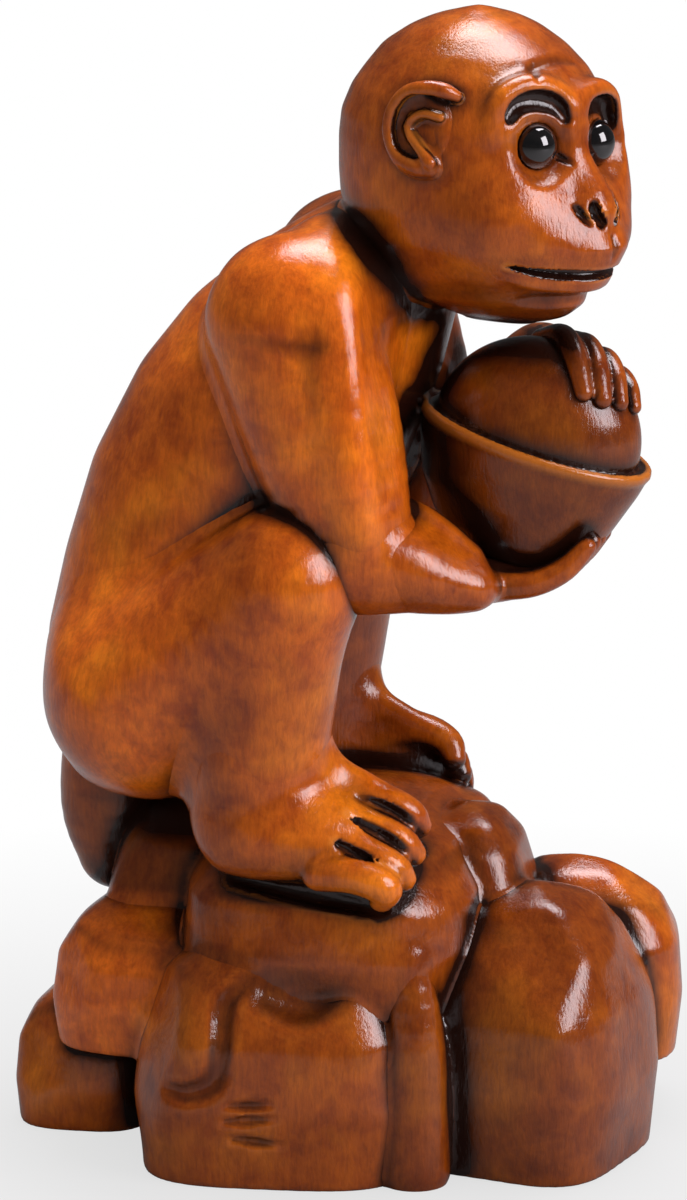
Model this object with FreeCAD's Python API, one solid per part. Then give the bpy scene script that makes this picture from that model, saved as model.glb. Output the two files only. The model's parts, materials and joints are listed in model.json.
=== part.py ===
import FreeCAD, Part
import math
import os
from FreeCAD import Vector

# A carved hardwood monkey that squats on a pile of boulders and hugs a boat-shaped ingot.
# The carving is divided along its carved creases, so each form is a solid of its own that
# meets its neighbours face to face. The two eyes are round glass beads set in drilled seats.
# Frame: +Z up, -Y is the way the monkey's chest faces, +X is its left side.
# The origin is on the table, under the middle of the carving. Lengths are in millimetres.

# plain helpers

FULL_TURN = 2 * math.pi
RING_POINTS = 8
CAP_ANGLES = (30, 60)
SKIN_DEGREE = 2
SEAM_BEHIND = 1 / 2
lobe_squareness_share = 0.3
sides = {"right": -1, "left": 1}


def closed_curve(points, pieces):
    """A smooth closed curve through the points, as that many edges.
    Its evenly spaced knots keep a skin light, and two edges spare the skin a seam."""
    count = len(points)
    curve = Part.BSplineCurve()
    knots = [i / count for i in range(count + 1)]
    curve.interpolate(Points=points, PeriodicFlag=True, Parameters=knots)
    return Part.Wire([curve.toShape(i / pieces, (i + 1) / pieces) for i in range(pieces)])


def skin(sections):
    """A closed solid through the sections: closed curves, or a vertex at a rounded end."""
    return Part.makeLoft(sections, True, False, False, SKIN_DEGREE)


def oval(centre, along, across, half_across, half_other):
    """An ellipse square to `along`, with one axis as near to `across` as it can lie."""
    way = Vector(along).normalize()
    side = (Vector(across) - way * way.dot(Vector(across))).normalize()
    other = way.cross(side)
    points = []
    for i in range(RING_POINTS):
        turn = FULL_TURN * i / RING_POINTS
        points.append(centre + side * (half_across * math.cos(turn)) + other * (half_other * math.sin(turn)))
    return closed_curve(points, 2)


def limb(path, radii, seam_way, flat_share=1.0):
    """A rounded limb along the path. Its seam lies along seam_way, and it is flat_share as thick there."""
    count = len(path)
    ways = []
    for i in range(count):
        before, after = path[max(i - 1, 0)], path[min(i + 1, count - 1)]
        ways.append((after - before).normalize())
    stations = []
    for angle in reversed(CAP_ANGLES):
        lift, shrink = math.sin(math.radians(angle)), math.cos(math.radians(angle))
        stations.append((path[0] - ways[0] * (radii[0] * lift), ways[0], radii[0] * shrink))
    stations += list(zip(path, ways, radii))
    for angle in CAP_ANGLES:
        lift, shrink = math.sin(math.radians(angle)), math.cos(math.radians(angle))
        stations.append((path[-1] + ways[-1] * (radii[-1] * lift), ways[-1], radii[-1] * shrink))
    rings = [oval(c, w, seam_way, r * flat_share, r) for c, w, r in stations]
    start = Part.Vertex(path[0] - ways[0] * radii[0])
    end = Part.Vertex(path[-1] + ways[-1] * radii[-1])
    return skin([start, *rings, end])


def lobed_oval(centre, way, across, half_across, half_other, lobes, groove_share):
    """An oval whose two long sides swell into that many fingers or toes lying side by side."""
    side = (Vector(across) - way * way.dot(Vector(across))).normalize()
    other = way.cross(side)
    points = []
    for end in (1, -1):
        points.append(centre + side * (end * half_across))
        for i in range(2 * lobes - 1):
            place = end * (1 - (i + 1) / lobes)
            height = half_other * (1 - place * place) ** lobe_squareness_share
            if i % 2 == 1:
                height *= 1 - groove_share
            points.append(centre + side * (place * half_across) + other * (end * height))
    return closed_curve(points, 1)


def digits(path, across, half_widths, half_heights, lobes, groove_shares):
    """A hand or foot in one skin: plain at the wrist or heel, and lobed where its digits part."""
    count = len(path)
    ways = [(path[min(i + 1, count - 1)] - path[max(i - 1, 0)]).normalize() for i in range(count)]
    rows = zip(path, ways, half_widths, half_heights, groove_shares)
    rings = [lobed_oval(c, w, across, half_w, half_h, lobes, g) for c, w, half_w, half_h, g in rows]
    return skin([Part.Vertex(path[0] - ways[0] * half_heights[0]), *rings])


def ellipsoid(half_x, half_y, half_z):
    """An ellipsoid about the origin."""
    scale = FreeCAD.Matrix()
    scale.scale(half_x, half_y, half_z)
    return Part.makeSphere(1).transformGeometry(scale)


def between(table, at):
    """The row of the table at that first value, on straight lines between the rows."""
    for low, high in zip(table, table[1:]):
        if at <= high[0]:
            t = (at - low[0]) / (high[0] - low[0])
            return [a + (b - a) * t for a, b in zip(low, high)]
    return list(table[-1])


def main_solid(shape):
    """The largest solid of a cut shape, without the chips that a cut can leave loose."""
    return max(shape.Solids, key=lambda s: s.Volume)


# driving sizes

# rocks
base_length = 57.0
base_width = 42.0
ledge_height = 27.3
rock_height = 22.0

# torso
seat_height = 29.0
seat_back = 13.5
torso_height = 55.0
torso_width = 27.0
torso_depth = 27.2
torso_lean = 18.5

# head
head_length = 24.6
head_width = 22.0
head_height = 26.6
head_forward = 8.2
head_rise = 5.35
head_aside = 1.0
muzzle_reach = 5.0
muzzle_width = 12.5
head_turn = 25.0
ear_height = 8.4
ear_width = 6.6
ear_thickness = 3.2
ear_angle = 77.0
ear_flare = 22.0
bead_diameter = 3.8
bead_stand_out = 1.2
glue_clearance = 0.05
eye_spread = 7.8
orbit_width = 8.4
orbit_height = 8.8
orbit_depth = 1.7
brow_reach = 1.5
brow_thickness = 1.25
mouth_width = 13.0
mouth_groove = 1.3
nostril_size = 1.1

# arms
shoulder_spread = 22.0
shoulder_radius = 7.4
arm_radius = 6.7
elbow_radius = 4.9
forearm_radius = 4.1
wrist_radius = 3.1
upper_arm_length = 20.5
arm_out_angle = 8.5
arm_forward_angle = 17.5
arm_flat_share = 0.86
palm_width = 8.4
palm_thickness = 3.6

# ingot
ingot_length = 20.8
ingot_width = 15.2
ingot_depth = 11.5
ingot_forward = 17.6
ingot_height = 63.4
ingot_aside = 1.0
ingot_tilt = 16.6
ingot_foot_shift = 2.2
dome_height = 8.4
rim_band = 1.4
dish_depth = 0.8

# legs
leg_spread = 25.0
hip_spread = 18.8
hip_radius = 9.2
thigh_radius = 8.2
knee_radius = 5.9
calf_radius = 6.4
ankle_radius = 5.0
shin_length = 19.6
shin_back_angle = 8.0
foot_length = 18.0
foot_width = 10.4
foot_height = 8.4
foot_turn = 4.0
foot_roll = 31.0
heel_behind = 7.4
left_leg_back = 2.4

# tail
tail_length = 15.5
tail_radius = 4.5
tail_behind = 6.0


# torso

# height, lean forward, half width, half depth, as shares of the torso's own sizes
torso_shares = [
    (0.03, -0.03, 0.20, 0.18),
    (0.08, -0.05, 0.40, 0.35),
    (0.17, -0.05, 0.50, 0.42),
    (0.28, -0.02, 0.50, 0.44),
    (0.41, 0.11, 0.48, 0.47),
    (0.56, 0.29, 0.47, 0.50),
    (0.71, 0.49, 0.46, 0.48),
    (0.82, 0.66, 0.41, 0.42),
    (0.91, 0.84, 0.33, 0.32),
    (0.97, 0.95, 0.20, 0.20),
]


def torso_centre(height_share):
    """The middle of the torso at that share of its height."""
    lean_share = between(torso_shares, height_share)[1]
    return Vector(0, seat_back - lean_share * torso_lean, seat_height + height_share * torso_height)


def make_torso():
    """A pear-shaped trunk with a hunched back, from the seat to the neck."""
    up, side = Vector(0, 0, 1), Vector(1, 0, 0)
    rings = [oval(torso_centre(h), up, side, w * torso_width, d * torso_depth) for h, _, w, d in torso_shares]
    bottom = Part.Vertex(torso_centre(torso_shares[0][0]) + up * -(torso_shares[0][0] * torso_height))
    top = Part.Vertex(torso_centre(torso_shares[-1][0]) + up * ((1 - torso_shares[-1][0]) * torso_height))
    return skin([bottom, *rings, top])


# head

# height up from the chin, half width, reach back, reach forward, muzzle's reach, as shares of
# head_height, head_width, head_length, head_length and muzzle_reach
head_shares = [
    (0.04, 0.17, 0.02, 0.34, 0.10),
    (0.10, 0.33, 0.22, 0.42, 0.40),
    (0.19, 0.42, 0.38, 0.44, 0.84),
    (0.29, 0.48, 0.46, 0.44, 1.00),
    (0.40, 0.50, 0.49, 0.44, 0.66),
    (0.48, 0.50, 0.50, 0.44, 0.32),
    (0.54, 0.50, 0.50, 0.45, 0.12),
    (0.59, 0.50, 0.50, 0.45, 0.00),
    (0.63, 0.50, 0.49, 0.45, 0.00),
    (0.67, 0.49, 0.49, 0.45, 0.00),
    (0.71, 0.48, 0.47, 0.44, 0.00),
    (0.75, 0.46, 0.45, 0.42, 0.00),
    (0.81, 0.42, 0.40, 0.38, 0.00),
    (0.88, 0.35, 0.34, 0.30, 0.00),
    (0.95, 0.24, 0.22, 0.18, 0.00),
]
head_points = 24
head_middle_share = 0.538

# heights of the features of the face as shares of head_height
mouth_share = 0.19
nose_share = 0.375
eye_share = 0.6
ear_share = 0.635
# degrees from straight ahead, and the height of the brow's crest there as a share of head_height
brow_shares = [(0, 0.695), (24, 0.735), (44, 0.705), (66, 0.63), (180, 0.63)]
brow_end_angle = 58


def head_origin():
    """The middle of the skull, where the head's own frame sits."""
    neck = torso_centre(torso_shares[-1][0])
    return neck + Vector(-head_aside, -head_forward, head_rise)


def place_head(shape):
    """Moves a shape from the head's frame to where the head is."""
    shape.rotate(Vector(0, 0, 0), Vector(0, 0, 1), -head_turn)
    shape.translate(head_origin())
    return shape


def swell(distance, size):
    """A smooth rise: 1 at no distance, and close to 0 at twice the size."""
    return math.exp(-((distance / size) ** 2))


def eye_angle():
    """How far round the head each eye is, from straight ahead."""
    return math.asin(min(1, eye_spread / head_width))


def face_relief(angle, height_share):
    """How far the muzzle and brow stand out and the eye hollows sink in."""
    muzzle = between(head_shares, height_share)[-1]
    relief = muzzle * muzzle_reach * swell(angle, math.atan2(muzzle_width / 2, head_length / 2))
    crest = between(brow_shares, min(abs(math.degrees(angle)), 180))[-1]
    brow = brow_reach * swell((height_share - crest) * head_height, brow_thickness)
    relief += brow * swell(math.degrees(angle) ** 2, brow_end_angle ** 2)
    off_eye = (abs(angle) - eye_angle()) * head_length / 2
    hollow = swell(off_eye, orbit_width / 2) * swell((height_share - eye_share) * head_height, orbit_height / 2)
    return relief - orbit_depth * hollow


def head_point(angle, height_share):
    """A point on the head's skin. The angle is from straight ahead, towards its left."""
    _, width, back, front, _ = between(head_shares, height_share)
    turned = math.atan2(math.sin(angle), math.cos(angle))
    relief = face_relief(turned, height_share)
    reach = front * head_length if math.cos(angle) > 0 else back * head_length
    height = (height_share - head_middle_share) * head_height
    across = width * head_width + relief
    return Vector(across * math.sin(angle), -(reach + relief) * math.cos(angle), height)


def make_skull():
    """The skull, face and jaw in one skin."""
    turns = [FULL_TURN * (i / head_points + SEAM_BEHIND) for i in range(head_points)]
    rings = [closed_curve([head_point(t, row[0]) for t in turns], 2) for row in head_shares]
    chin_reach = (head_shares[0][3] - head_shares[0][2]) / 2 * head_length
    crown_reach = (head_shares[-1][3] - head_shares[-1][2]) / 2 * head_length
    chin = Part.Vertex(Vector(0, -chin_reach, -head_middle_share * head_height))
    crown = Part.Vertex(Vector(0, -crown_reach, (1 - head_middle_share) * head_height))
    return skin([chin, *rings, crown])


def eye_centre(side):
    """The middle of a bead, sunk so that bead_stand_out of it shows."""
    hollow = head_point(side * eye_angle(), eye_share)
    outward = Vector(hollow.x, hollow.y, 0).normalize()
    return hollow - outward * (bead_diameter / 2 - bead_stand_out)


def make_bead(side):
    bead = Part.makeSphere(bead_diameter / 2)
    bead.translate(eye_centre(side))
    return bead


def make_seat(side):
    """What the drill leaves for a bead and its glue."""
    seat = Part.makeSphere(bead_diameter / 2 + glue_clearance)
    seat.translate(eye_centre(side))
    return seat


def make_mouth():
    """The groove between the lips, round the muzzle."""
    half_angle = math.asin(min(1, mouth_width / head_width))
    path = [head_point(half_angle * i / 3, mouth_share) for i in range(-3, 4)]
    return limb(path, [mouth_groove / 2] * len(path), Vector(0, 0, 1))


def make_nostril(side):
    """A slanting hole beside the tip of the nose."""
    tip = head_point(0, nose_share)
    low = tip + Vector(side * nostril_size * 0.8, 0, -nostril_size)
    high = tip + Vector(side * nostril_size * 1.6, nostril_size, nostril_size)
    return limb([low, (low + high) / 2, high], [nostril_size / 2] * 3, Vector(side, 0, 0))


def make_head():
    head = make_skull()
    for side in sides.values():
        head = head.cut(make_seat(side)).cut(make_nostril(side))
    head = head.cut(make_mouth())
    return place_head(main_solid(head))


def make_ear(side):
    """A cupped ear: an oval shell that stands off the head, hollowed towards the front."""
    root = head_point(side * math.radians(ear_angle), ear_share)
    shell = ellipsoid(ear_thickness / 2, ear_width / 2, ear_height / 2)
    wall = ear_thickness / 4
    hollow = ellipsoid(ear_thickness / 2, ear_width / 2 - wall, ear_height / 2 - wall)
    hollow.translate(Vector(side * ear_thickness / 2, -wall, 0))
    ear = main_solid(shell.cut(hollow))
    ear.rotate(Vector(0, 0, 0), Vector(0, 0, 1), -side * ear_flare)
    ear.translate(root + Vector(side * ear_thickness / 4, 0, 0))
    return place_head(ear)


# ingot

# height over the rim, half length, half width, shift forward, as shares of ingot_depth,
# ingot_length, ingot_width and ingot_foot_shift
ingot_shares = [
    (-1.00, 0.27, 0.30, 1.0),
    (-0.88, 0.36, 0.39, 0.9),
    (-0.55, 0.44, 0.45, 0.6),
    (-0.20, 0.48, 0.48, 0.2),
    (0.00, 0.50, 0.50, 0.0),
]


def place_ingot(shape):
    """Moves a shape from the ingot's frame, with its rim level and its length along -Y."""
    shape.rotate(Vector(0, 0, 0), Vector(1, 0, 0), ingot_tilt)
    shape.translate(Vector(-ingot_aside, -ingot_forward, ingot_height))
    return shape


def on_ingot(forward, aside, up):
    """A point of the ingot's frame, in the part's frame."""
    tilt = math.radians(ingot_tilt)
    y = -forward * math.cos(tilt) - up * math.sin(tilt)
    z = -forward * math.sin(tilt) + up * math.cos(tilt)
    return Vector(aside - ingot_aside, y - ingot_forward, z + ingot_height)


def make_ingot():
    """A bowl with a dished rim and a dome that swells out of it."""
    up, side = Vector(0, 0, 1), Vector(1, 0, 0)
    rings = [
        oval(Vector(0, -s * ingot_foot_shift, h * ingot_depth), up, side, w * ingot_width, n * ingot_length)
        for h, n, w, s in ingot_shares
    ]
    lip = rim_band / 3
    dish = ellipsoid(ingot_width / 2 - lip, ingot_length / 2 - lip, dish_depth)
    bowl = skin(rings).cut(dish)
    dome = ellipsoid(ingot_width / 2 - rim_band, ingot_length / 2 - rim_band, dome_height)
    corner = Vector(-ingot_width / 2, -ingot_length / 2, -ingot_depth / 2)
    room = Part.makeBox(ingot_width, ingot_length, dome_height - corner.z, corner)
    return place_ingot(main_solid(bowl.fuse(dome.common(room))))


# arms and hands

shoulder_share = 0.82
forearm_start_share = 0.72


def shoulder(side):
    centre = torso_centre(shoulder_share)
    return centre + Vector(side * shoulder_spread / 2, 0, 0)


def elbow(side):
    out, forward = math.radians(arm_out_angle), math.radians(arm_forward_angle)
    way = Vector(side * math.tan(out), -math.tan(forward), -1).normalize()
    return shoulder(side) + way * upper_arm_length


def make_upper_arm(side):
    """An arm that is widest at the shoulder and a little flat against the ribs."""
    top, bottom = shoulder(side), elbow(side)
    radii = [shoulder_radius, arm_radius, elbow_radius]
    return limb([top, (top + bottom) / 2, bottom], radii, Vector(-side, 0, 0), arm_flat_share)


# places along each hand from wrist to finger tips: forward and aside as shares of the ingot's
# half length and half width, and up as a share of its depth (below the rim) or of its dome
right_hand_shares = [
    (-0.02, -1.26, -0.97),
    (0.28, -0.84, -0.98),
    (0.56, -0.62, -0.84),
    (0.78, -0.48, -0.62),
    (0.86, -0.44, -0.46),
]
left_hand_shares = [
    (-0.30, 1.30, 0.50),
    (0.02, 0.66, 0.90),
    (0.26, 0.10, 1.05),
    (0.44, -0.32, 0.98),
    (0.52, -0.54, 0.74),
]
right_hand_across_shares = (0.0, 0.9, -0.45)
left_hand_across_shares = (0.80, 0.40, -0.40)
hand_width_shares = (0.72, 1.0, 1.0, 0.88, 0.62)
hand_thickness_shares = (1.0, 1.0, 0.9, 0.66, 0.45)
finger_groove_shares = (0.0, 0.0, 0.2, 0.45, 0.45)
fingers = 4


def held_place(forward_share, aside_share, up_share):
    """A place on the ingot from its shares."""
    rise = dome_height if up_share > 0 else ingot_depth
    return on_ingot(forward_share * ingot_length / 2, aside_share * ingot_width / 2, up_share * rise)


def hand_shares(side):
    return right_hand_shares if side < 0 else left_hand_shares


def make_forearm(side):
    """The forearm, which starts inside the elbow and ends in the heel of the hand."""
    start, end = elbow(side), held_place(*hand_shares(side)[0])
    radii = [elbow_radius * forearm_start_share, forearm_radius, wrist_radius]
    return limb([start, (start + end) / 2, end], radii, Vector(0, 0, 1))


def make_hand(side):
    """One lies under the bowl with its fingers up the front. The other is laid over the dome."""
    path = [held_place(*row) for row in hand_shares(side)]
    across_shares = right_hand_across_shares if side < 0 else left_hand_across_shares
    across = on_ingot(*across_shares) - on_ingot(0, 0, 0)
    half_widths = [w * palm_width / 2 for w in hand_width_shares]
    half_heights = [h * palm_thickness / 2 for h in hand_thickness_shares]
    return digits(path, across, half_widths, half_heights, fingers, finger_groove_shares)


# legs, feet and tail

hip_share = 0.21
ankle_forward_share = 0.2
knee_start_share = 0.9
calf_share = 0.6


def heel_place(side):
    """How far behind the middle the heel is. The left leg is drawn further back."""
    return heel_behind + (left_leg_back if side > 0 else 0)


def ankle(side):
    y = heel_place(side) - ankle_forward_share * foot_length
    return Vector(side * leg_spread / 2, y, ledge_height + ankle_radius)


def knee(side):
    lean = math.radians(shin_back_angle)
    return ankle(side) + Vector(0, -math.sin(lean), math.cos(lean)) * shin_length


def hip(side):
    return torso_centre(hip_share) + Vector(side * hip_spread / 2, 0, 0)


def make_thigh(side):
    start, end = hip(side), knee(side)
    return limb([start, (start + end) / 2, end], [hip_radius, thigh_radius, knee_radius], Vector(-side, 0, 0))


def make_shin(side):
    """The shin, which starts inside the knee and ends in the heel."""
    bend, end = knee(side), ankle(side)
    start_radius = knee_radius * knee_start_share
    start = bend + (end - bend).normalize() * (knee_radius - start_radius) * 2
    calf = start + (end - start) * calf_share
    return limb([start, calf, end], [start_radius, calf_radius, ankle_radius], Vector(-side, 0, 0))


# along the foot from the heel, half its width there and its thickness there, as shares of
# foot_length, foot_width and foot_height, and how deep the grooves between the toes are
foot_shares = [
    (0.06, 0.30, 0.80, 0.0),
    (0.20, 0.40, 1.00, 0.0),
    (0.42, 0.45, 0.98, 0.0),
    (0.62, 0.49, 0.72, 0.12),
    (0.80, 0.51, 0.50, 0.40),
    (0.94, 0.47, 0.36, 0.50),
    (1.00, 0.40, 0.20, 0.50),
]
toes = 4


def foot_place(side, along_share, up_share):
    """A place over the middle of the sole. The foot is turned out and rolls down to its outer side."""
    turn, roll = math.radians(foot_turn), math.radians(foot_roll)
    along = along_share * foot_length
    up = up_share * foot_height
    x = side * (leg_spread / 2 + along * math.sin(turn) + up * math.sin(roll))
    y = heel_place(side) - along * math.cos(turn)
    return Vector(x, y, ledge_height + up * math.cos(roll))


def make_foot(side):
    """A long foot with four toes, flat on the slope of the ledge."""
    path = [foot_place(side, a, h / 2) for a, _, h, _ in foot_shares]
    roll = math.radians(foot_roll)
    across = Vector(side * math.cos(roll), 0, -math.sin(roll))
    half_widths = [w * foot_width for _, w, _, _ in foot_shares]
    half_heights = [h * foot_height / 2 for _, _, h, _ in foot_shares]
    return digits(path, across, half_widths, half_heights, toes, [g for _, _, _, g in foot_shares])


tail_root_share = 0.12
tail_shares = [(0.0, 0.0, 1.0), (0.03, 0.48, 1.0), (0.0, 0.78, 0.78)]


def make_tail():
    """A short thick tail that hangs behind the seat. Its rows go back, down and radius."""
    root = torso_centre(tail_root_share) + Vector(0, tail_behind, 0)
    path = [root + Vector(0, back, -down) * tail_length for back, down, _ in tail_shares]
    return limb(path, [tail_radius * r for _, _, r in tail_shares], Vector(0, -1, 0))


# rocks

# name, then its place from the middle (x of base_width, y of base_length), half sizes
# (of base_width and base_length), foot and top (of rock_height) and its turn in degrees
rock_shares = {
    "right_boulder": (-0.25, 0.045, 0.25, 0.22, 0.0, 1.0, 8),
    "front_boulder": (-0.07, -0.32, 0.26, 0.165, 0.0, 1.10, -10),
    "left_boulder": (0.245, 0.03, 0.25, 0.215, 0.0, 0.92, -8),
    "front_left_boulder": (0.27, -0.34, 0.20, 0.15, 0.26, 0.99, 16),
    "rear_low_boulder": (-0.02, 0.385, 0.21, 0.115, 0.0, 0.57, 0),
    "rear_left_boulder": (0.24, 0.28, 0.20, 0.17, 0.0, 0.80, 20),
    "rear_boulder": (-0.10, 0.255, 0.25, 0.155, 0.40, 1.02, -6),
    "ledge_rock": (0.0, -0.02, 0.42, 0.235, 0.66, 1.42, 0),
    "toe_rock": (0.03, -0.20, 0.19, 0.10, 0.60, 1.36, 6),
    "seat_rock": (0.03, 0.235, 0.26, 0.122, 0.50, 1.37, 0),
}
# height, and how wide the boulder is there, as shares of the boulder's own sizes
boulder_shares = [(0.0, 0.93), (0.30, 1.0), (0.58, 0.96), (0.80, 0.78), (0.94, 0.48)]
boulder_points = 12
boulder_squareness = 3.1


def make_boulder(x, y, half_x, half_y, foot, top, turn):
    """A water-worn boulder with a flat foot, squarish sides and a rounded top."""
    turns = [FULL_TURN * i / boulder_points for i in range(boulder_points)]
    centre = Vector(x * base_width, y * base_length, foot * rock_height)
    rise = (top - foot) * rock_height
    power = 2 / boulder_squareness

    def ring(height_share, size_share):
        points = []
        for t in turns:
            c, s = math.cos(t), math.sin(t)
            across = math.copysign(abs(c) ** power, c) * half_x * base_width * size_share
            along = math.copysign(abs(s) ** power, s) * half_y * base_length * size_share
            angle = math.radians(turn)
            points.append(centre + Vector(
                across * math.cos(angle) - along * math.sin(angle),
                across * math.sin(angle) + along * math.cos(angle),
                height_share * rise))
        return closed_curve(points, 2)

    rings = [ring(h, w) for h, w in boulder_shares]
    return skin([*rings, Part.Vertex(centre + Vector(0, 0, rise))])


# the whole carving

def make_forms():
    """Each form by name, the ones that keep their whole shape first."""
    forms = {"torso": make_torso(), "ingot": make_ingot(), "head": make_head()}
    makers = {
        "ear": make_ear,
        "thigh": make_thigh,
        "shin": make_shin,
        "foot": make_foot,
        "upper_arm": make_upper_arm,
        "forearm": make_forearm,
        "hand": make_hand,
    }
    for name, make in makers.items():
        for side_name, side in sides.items():
            forms[f"{side_name}_{name}"] = make(side)
    forms["tail"] = make_tail()
    for name, shares in rock_shares.items():
        forms[name] = make_boulder(*shares)
    return forms


def carve(forms):
    """Cuts each form by the earlier ones that it meets, so that they meet face to face."""
    done = {}
    for name, form in forms.items():
        solid = form
        for earlier in done:
            if form.BoundBox.intersect(forms[earlier].BoundBox):
                solid = solid.cut(forms[earlier])
        done[name] = main_solid(solid)
    return done


def write_parts():
    os.makedirs("parts", exist_ok=True)
    solids = carve(make_forms())
    for side_name, side in sides.items():
        solids[f"{side_name}_eye"] = place_head(make_bead(side))
    for name, solid in solids.items():
        solid.exportStep(f"parts/{name}.step")


write_parts()
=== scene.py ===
import json
import math

import bpy
import numpy as np
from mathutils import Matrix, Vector

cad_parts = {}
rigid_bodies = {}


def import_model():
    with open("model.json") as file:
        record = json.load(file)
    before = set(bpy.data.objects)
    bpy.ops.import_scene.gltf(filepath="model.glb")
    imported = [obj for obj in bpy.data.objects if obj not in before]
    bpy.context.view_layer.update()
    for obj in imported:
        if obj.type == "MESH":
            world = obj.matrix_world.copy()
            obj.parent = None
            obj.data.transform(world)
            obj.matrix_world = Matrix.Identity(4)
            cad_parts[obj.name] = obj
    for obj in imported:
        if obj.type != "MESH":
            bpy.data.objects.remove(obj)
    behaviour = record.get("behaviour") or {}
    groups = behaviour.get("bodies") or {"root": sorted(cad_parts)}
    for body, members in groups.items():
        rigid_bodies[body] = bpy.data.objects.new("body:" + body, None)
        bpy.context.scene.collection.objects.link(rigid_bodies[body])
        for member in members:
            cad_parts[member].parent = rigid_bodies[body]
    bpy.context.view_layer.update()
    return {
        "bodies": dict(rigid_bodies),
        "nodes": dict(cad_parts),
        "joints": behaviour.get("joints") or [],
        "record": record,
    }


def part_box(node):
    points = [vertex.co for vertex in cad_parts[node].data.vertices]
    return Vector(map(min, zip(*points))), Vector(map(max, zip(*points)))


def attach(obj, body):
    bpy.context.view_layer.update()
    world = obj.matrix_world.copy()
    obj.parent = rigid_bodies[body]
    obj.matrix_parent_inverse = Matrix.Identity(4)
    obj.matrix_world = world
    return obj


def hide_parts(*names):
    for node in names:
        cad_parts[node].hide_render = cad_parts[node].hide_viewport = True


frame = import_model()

scene = bpy.context.scene

# The carving is sculpted as distance fields in millimetres, in the frame of the CAD model,
# and each field is turned into a mesh. One field is made for each solid it stands for.

MM = 0.001
# no distance is kept beyond this
FAR = 9.0
# the blend of the form that a piece starts from
FRESH = 0.01


# frames and forms

def rotation(axis, degrees):
    """The matrix that turns about one axis."""
    c, s = math.cos(math.radians(degrees)), math.sin(math.radians(degrees))
    made = np.eye(3)
    one, two = (axis + 1) % 3, (axis + 2) % 3
    made[one, one], made[one, two], made[two, one], made[two, two] = c, -s, s, c
    return made


class Frame:
    """A place and three axes. Forms are given in its own coordinates."""

    def __init__(self, origin=(0, 0, 0), x=(1, 0, 0), y=(0, 1, 0), z=(0, 0, 1)):
        self.origin = np.array(origin, float)
        self.axes = np.array([x, y, z], float)

    def world(self, point):
        return self.origin + np.array(point, float) @ self.axes

    def local(self, X, Y, Z):
        o, a = self.origin, self.axes
        return [(X - o[0]) * a[i, 0] + (Y - o[1]) * a[i, 1] + (Z - o[2]) * a[i, 2] for i in range(3)]

    def at(self, place, pitch=0.0, yaw=0.0, roll=0.0):
        """A frame set at that place in this one, turned about its x, z and y axes in degrees."""
        turn = rotation(2, yaw) @ rotation(0, pitch) @ rotation(1, roll)
        return Frame(self.world(place), *(turn.T @ self.axes))


def smooth_path(points, values, steps):
    """The path through the points, with its values, resampled on a smooth curve."""
    rows = np.column_stack([np.array(points, float), np.array(values, float)])
    if len(rows) == 2:
        t = np.linspace(0, 1, steps + 1)[:, None]
        return rows[0] * (1 - t) + rows[1] * t
    padded = np.vstack([2 * rows[0] - rows[1], rows, 2 * rows[-1] - rows[-2]])
    made = []
    for i in range(1, len(padded) - 2):
        a, b, c, d = padded[i - 1:i + 3]
        for t in np.linspace(0, 1, steps, endpoint=False):
            made.append(0.5 * (2 * b + (c - a) * t + (2 * a - 5 * b + 4 * c - d) * t * t
                               + (3 * b - a - 3 * c + d) * t ** 3))
    return np.array(made + [rows[-1]])


class Egg:
    """An ellipsoid about the origin of its frame."""

    def __init__(self, frame, radii):
        self.frame, self.radii = frame, radii
        reach = np.sqrt(((frame.axes * np.array(radii)[:, None]) ** 2).sum(0))
        self.low, self.high = frame.origin - reach, frame.origin + reach

    def distance(self, X, Y, Z):
        q = [v / r for v, r in zip(self.frame.local(X, Y, Z), self.radii)]
        spread = np.sqrt(q[0] ** 2 + q[1] ** 2 + q[2] ** 2)
        q = [v / r for v, r in zip(q, self.radii)]
        slope = np.sqrt(q[0] ** 2 + q[1] ** 2 + q[2] ** 2)
        return spread * (spread - 1) / np.maximum(slope, 1e-5)


class Tube:
    """A limb, ridge or groove along a smooth path. flat squeezes it along the frame's axes."""

    def __init__(self, frame, points, radii, flat=(1, 1, 1), steps=5):
        self.frame, self.flat = frame, flat
        self.rows = smooth_path(points, radii, steps)
        world = np.array([frame.world(p) for p in self.rows[:, :3]])
        reach = self.rows[:, 3].max()
        self.low, self.high = world.min(0) - reach, world.max(0) + reach

    def distance(self, X, Y, Z):
        p = [v / s for v, s in zip(self.frame.local(X, Y, Z), self.flat)]
        best = None
        rows = self.rows / np.array([*self.flat, 1])
        for a, b in zip(rows, rows[1:]):
            way = b[:3] - a[:3]
            length = max(float(way @ way), 1e-9)
            off = [p[i] - a[i] for i in range(3)]
            t = np.clip((off[0] * way[0] + off[1] * way[1] + off[2] * way[2]) / length, 0, 1)
            gap = sum((off[i] - t * way[i]) ** 2 for i in range(3))
            gap = np.sqrt(gap) - (a[3] + (b[3] - a[3]) * t)
            best = gap if best is None else np.minimum(best, gap)
        return best * min(self.flat)


class Shell:
    """A form given by a formula that is below zero inside, scaled to a distance by its slope."""

    def __init__(self, formula, low, high):
        self.formula, self.low, self.high = formula, np.array(low, float), np.array(high, float)

    def distance(self, X, Y, Z):
        return by_slope(self.formula(X, Y, Z), float(X.ravel()[1] - X.ravel()[0]))


def by_slope(value, step):
    """The distances that a formula's values on a grid stand for."""
    slope = np.sqrt(sum(g ** 2 for g in np.gradient(value, step)))
    return np.clip(value / np.maximum(slope, 0.02), -FAR, FAR)


class Steps(list):
    """What a piece is sculpted from, in order: rows of cutting, form and blend."""

    def add(self, form, blend=FRESH):
        self.append((False, form, blend))
        return self

    def cut(self, form, blend):
        self.append((True, form, blend))


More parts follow.
